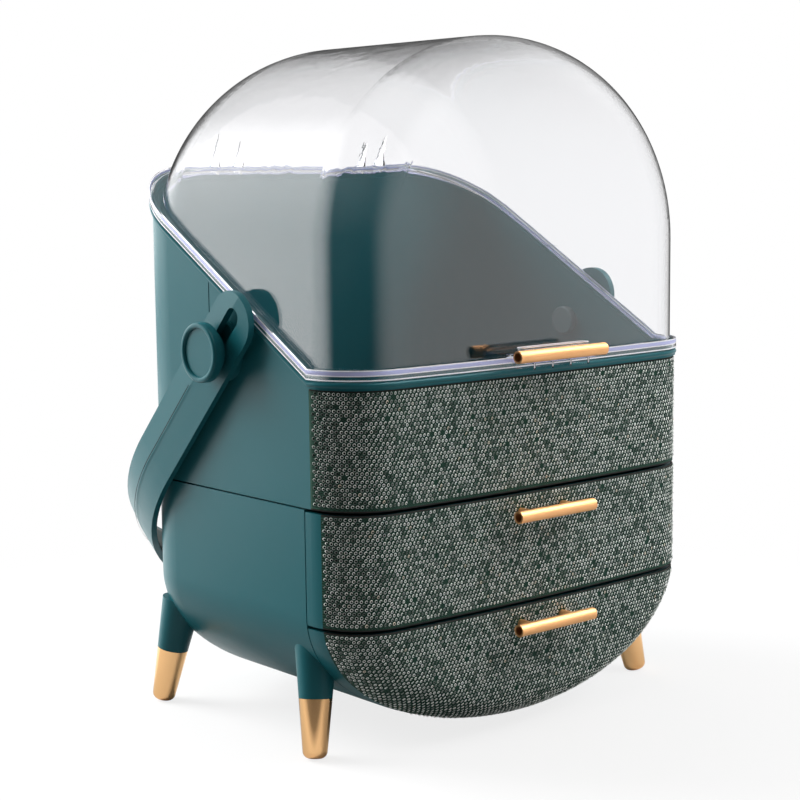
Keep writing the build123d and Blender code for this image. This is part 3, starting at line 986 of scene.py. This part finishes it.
@dataclass
class FlangeHighlights:
    """Pale strips on the lid's flange: painted highlights and a lilac painted reflection, where its polished
    edges catch the light.
    """

    face: float = 1.74
    depth: float = 0.25
    corner_step: float = 0.08
    soft: float = 0.3
    # Three near-white strips are painted highlights and the fourth a lilac painted reflection.
    bands: tuple[tuple[str, float, float, Coat], ...] = (
        ("flange_top_painted_highlight", 5.65, 6.3, Coat.LIT_EDGE), ("flange_middle_painted_highlight", 2.95, 3.6, Coat.LIT_EDGE),
        ("flange_lower_painted_highlight", 0.34, 1.1, Coat.LIT_EDGE), ("flange_painted_lilac_reflection", 3.65, 5.6, Coat.LILAC_EDGE))
    line: RimLine = field(default_factory=RimLine)

    def build(self) -> list[Piece]:
        """Builds the painted highlight and painted reflection strips.

        Returns:
            The painted strips.
        """
        edges = []
        back = self.face - self.depth
        shoulder = self.face - self.corner_step
        for name, low, high, coat in self.bands:
            soft = min(self.soft, (high - low) / 3.0)
            section = [(back, low), (shoulder, low), (self.face, low + soft), (self.face, high - soft),
                       (shoulder, high), (back, high)]
            edges.append(self.line.sweep(name, section, coated(coat)))
        return join_body("lid", "clear_plastic", *edges)


@dataclass
class TabLipAndHighlights:
    """The raised clear lip on the lid's tab with a painted highlight on its rim, and pale blocks painted as
    highlights on each saddle's front.
    """

    half_length: float = 27.4
    front: float = -50.2
    rear: float = -44.6
    corner: float = 2.2
    corner_steps: int = 6
    low: float = 224.1
    high: float = 228.6
    rim: float = 0.5
    rim_round: float = 0.1
    wall: float = 0.6
    saddle_xs: tuple[float, ...] = (-21.75, -7.25, 7.25, 21.75)
    saddle_y: float = -54.1
    saddle_low: float = 217.0
    saddle_high: float = 219.8
    saddle_width: float = 0.6
    saddle_thickness: float = 0.5
    saddle_round: float = 0.12

    def outline(self) -> list[LinePoint]:
        """The lip's outline from above.

        Returns:
            X, Y and the outward direction of each point, going round once.
        """
        across = self.half_length - self.corner
        middle = (self.front + self.rear) / 2.0
        along = (self.rear - self.front) / 2.0 - self.corner
        points = []
        for quarter, (side_x, side_y) in enumerate(((1, 1), (-1, 1), (-1, -1), (1, -1))):
            ends = (math.pi / 2.0 * quarter, math.pi / 2.0 * (quarter + 1))
            points += arc(side_x * across, middle + side_y * along, self.corner, ends, self.corner_steps)
        return points

    def build_lip(self) -> list[Piece]:
        """Builds the clear lip and its rim with a painted highlight.

        Returns:
            The two pieces.
        """
        line = self.outline()
        top = self.high - self.rim
        inside = -self.wall
        body = [(0.0, 0.0), (0.0, top - self.low), (inside, top - self.low), (inside, 0.0)]
        # The pale rim on the lip is a painted highlight.
        rim = [(0.0, 0.0), (0.0, self.rim - self.rim_round), (-self.rim_round, self.rim),
               (inside + self.rim_round, self.rim), (inside, self.rim - self.rim_round), (inside, 0.0)]
        return [carried_round("lid_tab_lip", line, body, lambda y: self.low, coated(Coat.CLEAR)),
                carried_round("lid_tab_lip_painted_highlight", line, rim, lambda y: top, coated(Coat.LIT_EDGE))]

    def build(self) -> list[Piece]:
        """Builds the lip and the painted highlights on each saddle's front.

        Returns:
            The pieces.
        """
        lip = self.build_lip()
        shape = bmesh.new()
        size = Vector((self.saddle_width, self.saddle_thickness, self.saddle_high - self.saddle_low))
        for x in self.saddle_xs:
            block = bmesh.ops.create_cube(shape, size=1.0)["verts"]
            bmesh.ops.scale(shape, verts=block, vec=size * LAYOUT.unit)
            middle = LAYOUT.place(x, self.saddle_y, (self.saddle_low + self.saddle_high) / 2.0)
            bmesh.ops.translate(shape, verts=block, vec=middle)
        bmesh.ops.bevel(shape, geom=shape.edges[:], offset=self.saddle_round * LAYOUT.unit, segments=2,
                        profile=0.5, affect="EDGES", material=-1)
        # Pale blocks on each saddle's front face are painted highlights.
        saddle_highlights = mesh_object("saddle_front_painted_highlights", shape, coated(Coat.LIT_EDGE))
        return join_body("lid", "clear_plastic", *lip, saddle_highlights)


@dataclass(frozen=True)
class StrapPath:
    """The strap's own layout: two arms from the pivots and a bend round the rear, all at one angle."""

    pivot_y: float = 77.0
    pivot_z: float = 226.8
    angle: float = 46.5
    straight: float = 96.0
    corner: float = 16.8
    bend: float = 127.6

    def point(self, x: float, along: float, across: float) -> Vector:
        """A point of the strap's own layout in the frame.

        Args:
            x: Millimetres across the organizer.
            along: Distance from the pivot along the arms.
            across: Distance across the strap's width.

        Returns:
            The point in metres.
        """
        turn = math.radians(self.angle)
        y = self.pivot_y + along * math.cos(turn) + across * math.sin(turn)
        z = self.pivot_z - along * math.sin(turn) + across * math.cos(turn)
        return LAYOUT.place(x, y, z)

    def track(self, distance: float, depth: float) -> tuple[float, float]:
        """A place along the strap's middle line.

        Args:
            distance: Millimetres from the middle of the cross bar, negative to the left.
            depth: How far inside the strap's inner face; negative outside it.

        Returns:
            X and the distance from the pivot.
        """
        radius = self.bend - depth
        side = 1.0 if distance >= 0.0 else -1.0
        past = abs(distance) - self.corner
        if past <= 0.0:
            return distance, self.straight + radius
        turn = past / self.bend
        if turn <= math.pi / 2.0:
            return side * (self.corner + radius * math.sin(turn)), self.straight + radius * math.cos(turn)
        return side * (self.corner + radius), self.straight - (past - self.bend * math.pi / 2.0)


@dataclass
class GripPad:
    """The soft lining inside the strap's cross bar, with shallow ribs across it."""

    path: StrapPath = field(default_factory=StrapPath)
    sweep: float = 55.0
    half_width: float = 14.0
    thickness: float = 1.2
    rib_depth: float = 0.22
    rib_pitch: float = 3.2
    columns: int = 420
    rows: int = 10
    side_fade: float = 5.0
    end_fade: float = 30.0

    def build(self) -> list[Piece]:
        """Builds the ribbed lining in place of its plain solid.

        Returns:
            The lining.
        """
        path = self.path
        half = path.corner + path.bend * math.radians(self.sweep)
        shape = smooth_grid(self.columns, self.rows)
        for vert in shape.verts:
            distance = vert.co.x * half
            rib = 0.5 - 0.5 * math.cos(distance / self.rib_pitch * math.tau)
            fade = min(1.0, (1.0 - abs(vert.co.y)) * self.side_fade)
            fade *= min(1.0, (1.0 - abs(vert.co.x)) * self.end_fade)
            depth = self.thickness - self.rib_depth * (1.0 - rib * fade)
            vert.co = path.point(*path.track(distance, depth), vert.co.y * self.half_width)
        lining = mesh_object("soft_grip_lining", shape, coated(Coat.GRIP))
        bar = path.point(0.0, path.straight + path.bend, 0.0)
        face_toward(lining, path.point(0.0, path.straight, 0.0) - bar)
        thicken(lining, self.thickness - self.rib_depth, -1.0)
        join_body("handle", "soft_grip", lining)
        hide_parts("handle_grip_pad")
        return [lining]


@dataclass
class StrapCreaseShade:
    """A thin near-black strip of painted shade where the strap's two outer facets meet, from one arm round the
    bend to the other.
    """

    path: StrapPath = field(default_factory=StrapPath)
    outside: float = 5.52
    across: float = 3.0
    half_width: float = 0.26
    thickness: float = 0.1
    arm: float = 64.0
    columns: int = 300

    def build(self) -> list[Piece]:
        """Builds the strip of painted shade.

        Returns:
            The crease.
        """
        path = self.path
        reach = path.corner + path.bend * math.pi / 2.0 + self.arm
        shape = smooth_grid(self.columns, 2)
        for vert in shape.verts:
            across = self.across + vert.co.y * self.half_width
            vert.co = path.point(*path.track(vert.co.x * reach, -self.outside), across)
        # A thin near-black strip stands on the strap as painted shade.
        crease_shade = mesh_object("painted_strap_crease_line", shape, coated(Coat.CREASE))
        thicken(crease_shade, self.thickness, 0.0)
        return join_body("handle", "teal_plastic", crease_shade)


class Assembly:
    """A part of the organizer: solids that get their finishes, and pieces that only the scene has."""

    def coats(self) -> dict[str, Coat]:
        """The finish of each solid, by its name."""
        raise NotImplementedError

    def extras(self) -> list[Piece]:
        """Builds the pieces that only the scene has."""
        raise NotImplementedError

    def build(self, frame: dict) -> list[Piece]:
        """Dresses the assembly.

        Args:
            frame: The loaded frame.

        Returns:
            The pieces.
        """
        coats = self.coats()
        pieces = [frame["nodes"][node] for node in coats]
        for piece, coat in zip(pieces, coats.values()):
            for slot in piece.material_slots:
                slot.material = coated(coat)
        return pieces + self.extras()


@dataclass
class Base(Assembly):
    """The tub, its front cloth and bead, the housing, its shelf and the leg caps."""

    teal: tuple[str, ...] = ("tub", "housing", "pivot_bush_left", "pivot_bush_right")
    bead: RimBead = field(default_factory=RimBead)
    panel: StudCloth = field(default_factory=lambda: StudCloth(
        "fixed_panel", "tub_front_fabric", "base", low=144.8, high=211.0, edge_y=-0.1, flat=(319.6, 66.2),
        flat_area=21150.0, seed=3))

    def coats(self) -> dict[str, Coat]:
        """The finish of each solid, by its name."""
        caps = {f"leg_cap_{end}_{side.value}": Coat.CAP_GOLD for end in ("front", "rear") for side in Side}
        return dict.fromkeys(self.teal, Coat.TEAL) | {"drawer_shelf": Coat.INNER_TEAL} | caps

    def extras(self) -> list[Piece]:
        """Builds the cloth, its rings and the bead."""
        return self.panel.build() + self.bead.build()


@dataclass
class Drawer(Assembly):
    """One drawer with its cloth panel and gold bar."""

    name: str
    low: float
    high: float
    bar_z: float
    flat: tuple[float, float]
    flat_area: float
    seed: int
    post_x: float = 17.0
    edge_y: float = -7.7

    def coats(self) -> dict[str, Coat]:
        """The finish of each solid, by its name.

        Returns:
            The finishes.
        """
        ends = {"front": Coat.TEAL, "tray": Coat.INNER_TEAL, "bar": Coat.GOLD, "bar_posts": Coat.GOLD,
                "bar_screws": Coat.STEEL}
        return {f"{self.name}_{end}": coat for end, coat in ends.items()}

    def extras(self) -> list[Piece]:
        """Builds the panel.

        Returns:
            The cloth and its rings.
        """
        panel = StudCloth(self.name + "_panel", self.name + "_fabric", self.name, self.low, self.high,
                          self.edge_y, self.flat, self.flat_area, self.seed,
                          holes=((-self.post_x, self.bar_z), (self.post_x, self.bar_z)))
        return panel.build()


@dataclass
class Lid(Assembly):
    """The clear dome with its bar, its hinge pins, and pale pieces painted as highlights where its edges catch
    the light.
    """

    flange: FlangeHighlights = field(default_factory=FlangeHighlights)
    tab: TabLipAndHighlights = field(default_factory=TabLipAndHighlights)

    def coats(self) -> dict[str, Coat]:
        """The finish of each solid, by its name."""
        pins = {f"hinge_pin_{side.value}": Coat.STEEL for side in Side}
        return {"lid_dome": Coat.CLEAR, "lid_bar": Coat.GOLD} | pins

    def extras(self) -> list[Piece]:
        """Builds the painted highlights on the edges."""
        return self.flange.build() + self.tab.build()


@dataclass
class CarryHandle(Assembly):
    """The strap, its lining, a strip of painted shade along its outer facet line, and the knobs, pins and nuts
    of its two pivots.
    """

    pad: GripPad = field(default_factory=GripPad)
    crease_shade: StrapCreaseShade = field(default_factory=StrapCreaseShade)

    def coats(self) -> dict[str, Coat]:
        """The finish of each solid, by its name.

        Returns:
            The finishes.
        """
        kinds = {"knob": Coat.TEAL, "pivot_pin": Coat.STEEL, "pivot_nut": Coat.NUT_TEAL}
        pivots = {f"{kind}_{side.value}": coat for side in Side for kind, coat in kinds.items()}
        return {"handle_strap": Coat.TEAL} | pivots

    def extras(self) -> list[Piece]:
        """Builds the lining and the strip of painted shade."""
        return self.pad.build() + self.crease_shade.build()


@dataclass(frozen=True)
class Patch:
    """A soft patch of the room round an aim; edge and full are the cosines at which it ends and is full."""

    aim: Triple
    edge: float
    full: float
    gain: float = 1.0

    def along(self, board: NodeBoard, way: Socket) -> Socket:
        """The patch's strength in a direction."""
        dot = board.add("ShaderNodeVectorMath", {0: way, 1: self.aim}, operation="DOT_PRODUCT")
        return board.spread(dot.outputs["Value"], self.edge, self.full, 0.0, self.gain, "SMOOTHSTEP")


@dataclass(frozen=True)
class Softbox:
    """A large soft lamp aimed at a point. It lights, and the world alone gives what gloss reflects."""

    name: str
    place: Triple
    width: float
    height: float
    radiance: float
    aim: Triple = (0.0, 0.0, 0.2)

    def build(self) -> None:
        """Builds the lamp."""
        lamp = bpy.data.lights.new(self.name, "AREA")
        lamp.shape = "RECTANGLE"
        lamp.size = self.width
        lamp.size_y = self.height
        lamp.energy = self.radiance * math.pi * self.width * self.height
        made = bpy.data.objects.new(self.name, lamp)
        made.location = self.place
        direction = Vector(self.aim) - Vector(self.place)
        made.rotation_euler = direction.to_track_quat("-Z", "Y").to_euler()
        made.visible_camera = False
        made.visible_glossy = False
        made.visible_transmission = False
        bpy.context.scene.collection.objects.link(made)


@dataclass
class Studio:
    """The pale floor, the world, the lamps and the camera."""

    azimuth: float = 40.43
    pitch: float = 7.37
    roll: float = 0.69
    focal_pixels: float = 1778.86
    picture_pixels: float = 800.0
    sensor: float = 36.0
    eye: Triple = (-721.9, -759.3, 328.1)
    floor_size: float = 5.0
    floor_lift: float = 0.8
    floor_painted_shade: Triple = (0.15, 0.15, 0.15)
    floor_pale: Triple = (0.86, 0.86, 0.86)
    floor_fade: tuple[float, float] = (0.22, 0.5)
    floor_near: tuple[float, float] = (0.30, 0.55)
    floor_mirrored: tuple[float, float] = (0.25, 0.6)
    room_band: tuple[float, ...] = (0.22, 0.6, 1.0, 0.5)
    room_sides: tuple[float, float] = (0.11, 0.9)
    room_above: tuple[float, ...] = (0.1, 0.6, 0.06, 0.45)
    dark: Patch = Patch((-0.906, -0.423, 0.0), 0.28, 0.64)
    rear: Patch = Patch((0.1, 0.995, 0.0), 0.7, 0.97, 2.0)
    stand: Patch = Patch((-0.146, -0.989, 0.0), 0.978, 0.994)
    panel: Patch = Patch((-0.557, 0.826, 0.08), 0.89, 0.97, 3.0)
    lamp: Patch = Patch((0.38, -0.41, 0.83), 0.90, 0.97, 12.5)
    veil: Patch = Patch((-0.643, 0.755, 0.0), 0.58, 0.93, 2.8)
    glow: Patch = Patch((0.8, -0.6, 0.0), 0.35, 1.0, 1.15)
    boxes: tuple[Softbox, ...] = (
        Softbox("left_rear_softbox", (-0.80, 1.30, 0.75), 0.9, 1.2, 5.8),
        Softbox("right_front_lamp", (0.75, -0.80, 0.95), 0.6, 0.5, 7.0, aim=(0.1, -0.13, 0.15)),
        Softbox("top_softbox", (-0.15, 0.0, 1.6), 1.3, 1.3, 0.9),
        Softbox("left_fill_lamp", (-0.70, 1.20, 1.1), 1.0, 1.0, 8.4),
    )

    def lit_side(self, board: NodeBoard, way: Socket) -> Socket:
        """How lit the room is in a direction: 0 in its dark part and 1 elsewhere."""
        return board.math("SUBTRACT", 1.0, self.dark.along(board, way))

    def build_floor(self) -> None:
        """Builds a pale floor that fades into the white background away from the organizer. For lamps' light
        and reflections its colour is painted darker towards the room's dark side as painted shade, and stays
        partly pale near the organizer, more so in reflections.
        """
        paper = bpy.data.materials.new("pale_floor")
        paper.use_nodes = True
        board = NodeBoard(paper.node_tree)
        place = board.add("ShaderNodeSeparateXYZ", {0: board.coordinates()}).outputs
        flat = board.add("ShaderNodeCombineXYZ", {"X": place["X"], "Y": place["Y"]}).outputs[0]
        away = board.add("ShaderNodeVectorMath", {0: flat}, operation="LENGTH").outputs["Value"]
        bearing = board.add("ShaderNodeVectorMath", {0: flat}, operation="NORMALIZE").outputs[0]
        seen = board.seen_straight()
        # Painted shade: for lamps' light and reflections the floor's colour darkens towards the room's dark
        # side and stays partly pale near the organizer; the camera sees it pale.
        near = board.math("MULTIPLY", board.spread(away, *self.floor_near, 1.0, 0.0),
                          board.spread(board.ray("Is Glossy Ray"), 0.0, 1.0, *self.floor_mirrored))
        pale = board.chain("MAXIMUM", self.lit_side(board, bearing), near, seen)
        shader = paper.node_tree.nodes["Principled BSDF"]
        board.feed(shader, {"Base Color": board.blend(pale, self.floor_painted_shade, self.floor_pale),
                            "Roughness": 0.9, "Specular IOR Level": 0.1})
        glow = board.add("ShaderNodeEmission")
        lit = board.mix(board.math("MULTIPLY", seen, self.floor_lift), shader.outputs[0], glow.outputs[0])
        fade = board.spread(away, *self.floor_fade, 0.0, 1.0, "SMOOTHSTEP")
        gone = board.math("MAXIMUM", board.math("MULTIPLY", fade, seen), board.mirror_ray())
        board.surface(board.mix(gone, lit, board.add("ShaderNodeBsdfTransparent").outputs[0]))
        shape = bmesh.new()
        bmesh.ops.create_grid(shape, x_segments=1, y_segments=1, size=self.floor_size)
        mesh_object("studio_floor", shape, paper)

    def build_world(self) -> None:
        """Builds a white background for sight and softer, uneven ones for light and for reflections."""
        world = bpy.data.worlds.new("studio_world")
        bpy.context.scene.world = world
        world.use_nodes = True
        board = NodeBoard(world.node_tree)
        way = board.coordinates("Generated")
        up = board.add("ShaderNodeSeparateXYZ", {0: way}).outputs["Z"]
        band = board.spread(up, *self.room_band)
        side = board.spread(self.lit_side(board, way), 0.0, 1.0, *self.room_sides)
        rear = board.math("ADD", 1.0, self.rear.along(board, way))
        stand = board.math("SUBTRACT", 1.0, self.stand.along(board, way))
        patches = board.math("ADD", self.panel.along(board, way), self.lamp.along(board, way))
        patches = board.math("MULTIPLY", patches, board.ray("Is Glossy Ray"))
        soft = board.math("ADD", board.chain("MULTIPLY", band, side, rear, stand), patches)
        above = board.spread(up, *self.room_above)
        sharp = board.chain("ADD", self.veil.along(board, way), self.glow.along(board, way), above)
        lit = board.blend(board.mirror_ray(), soft, sharp)
        board.feed(world.node_tree.nodes["Background"],
                   {"Color": board.blend(board.seen_straight(), lit, (1.0, 1.0, 1.0)), "Strength": 1.0})

    def build_camera(self) -> None:
        """Builds the camera at the photograph's place and angle."""
        turn, dip, roll = (math.radians(angle) for angle in (self.azimuth, self.pitch, self.roll))
        forward = Vector((math.sin(turn) * math.cos(dip), math.cos(turn) * math.cos(dip), -math.sin(dip)))
        level = Vector((math.cos(turn), -math.sin(turn), 0.0))
        down = forward.cross(level)
        right = math.cos(roll) * level + math.sin(roll) * down
        below = -math.sin(roll) * level + math.cos(roll) * down
        lens = bpy.data.cameras.new("photo_camera")
        lens.sensor_width = self.sensor
        lens.lens = self.focal_pixels / self.picture_pixels * self.sensor
        lens.clip_start = 0.01
        camera = bpy.data.objects.new("photo_camera", lens)
        basis = Matrix((right, -below, -forward)).transposed().to_4x4()
        camera.matrix_world = Matrix.Translation(LAYOUT.place(*self.eye)) @ basis
        bpy.context.scene.collection.objects.link(camera)
        bpy.context.scene.camera = camera

    def build(self) -> None:
        """Sets up the whole studio."""
        bpy.context.scene.view_settings.view_transform = "Standard"
        self.build_floor()
        self.build_world()
        for box in self.boxes:
            box.build()
        self.build_camera()


def main() -> None:
    """Builds the organizer's looks and the studio in order."""
    logging.basicConfig(level=logging.INFO, format="%(name)s: %(message)s")
    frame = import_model()
    parts: dict[str, Assembly] = {
        "base": Base(),
        "upper drawer": Drawer("upper_drawer", low=79.1, high=142.8, bar_z=132.3, flat=(304.3, 63.7),
                               flat_area=19380.0, seed=7),
        "lower drawer": Drawer("lower_drawer", low=5.0, high=77.1, bar_z=66.6, flat=(303.2, 89.2),
                               flat_area=20210.0, seed=11),
        "lid": Lid(),
        "carry handle": CarryHandle(),
    }
    for label, part in parts.items():
        pieces = part.build(frame)
        LOG.info("%s: %s", label, ", ".join(piece.name for piece in pieces))
    Studio().build()


if __name__ == "__main__":
    main()
